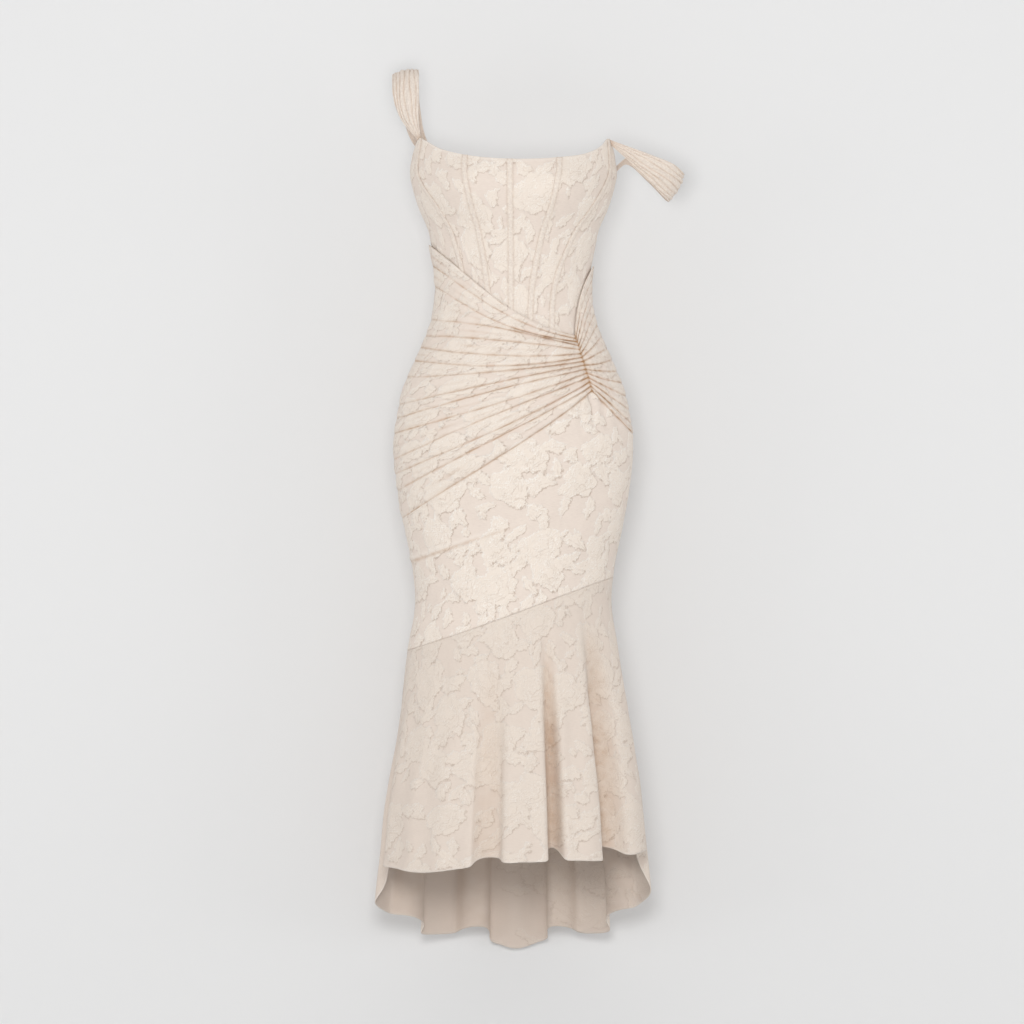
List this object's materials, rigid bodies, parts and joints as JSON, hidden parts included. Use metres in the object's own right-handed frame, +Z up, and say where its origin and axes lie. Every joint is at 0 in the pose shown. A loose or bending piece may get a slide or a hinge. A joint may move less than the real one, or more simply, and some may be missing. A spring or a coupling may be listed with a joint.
{
  "type": "long draped dress",
  "caption": "Long fitted dress, worn shape: boned bodice, side-gathered wrap skirt, high-low flounce and two gathered straps, one worn off the shoulder.",
  "frame": {"origin": "on the wearer's body axis, at the height of the lowest point of the front neckline, where the bodice is held", "axes": "+Z up, -Y towards the front, +X towards the wearer's left, metres"},
  "size_m": [0.4949, 0.3903, 1.417],
  "materials": {
    "jacquard_cloth": "matt jacquard with a raised flower pattern",
    "wrap_cloth": "matt jacquard, pulled into folds",
    "flounce_cloth": "matt jacquard with a half-sheer ground",
    "casing_cloth": "matt jacquard, folded and edge-stitched",
    "strap_cloth": "matt jacquard, gathered lengthwise",
    "zip_tape": "plain fine twill"
  },
  "bodies": {
    "root": {"bodice_center_right": "jacquard_cloth", "bodice_center_left": "jacquard_cloth", "bodice_cup_right": "jacquard_cloth", "bodice_cup_left": "jacquard_cloth", "bodice_side_right": "jacquard_cloth", "bodice_side_left": "jacquard_cloth", "bodice_back_right": "jacquard_cloth", "bodice_back_left": "jacquard_cloth", "casing_right_princess": "casing_cloth", "casing_right_inner": "casing_cloth", "casing_center": "casing_cloth", "casing_left_inner": "casing_cloth", "casing_left_princess": "casing_cloth", "skirt_front": "wrap_cloth", "skirt_back_right": "jacquard_cloth", "skirt_back_left": "jacquard_cloth", "flounce_front": "flounce_cloth", "flounce_back": "flounce_cloth", "strap_right": "strap_cloth", "strap_left": "strap_cloth", "back_zip_tape": "zip_tape"}
  },
  "joints": []
}
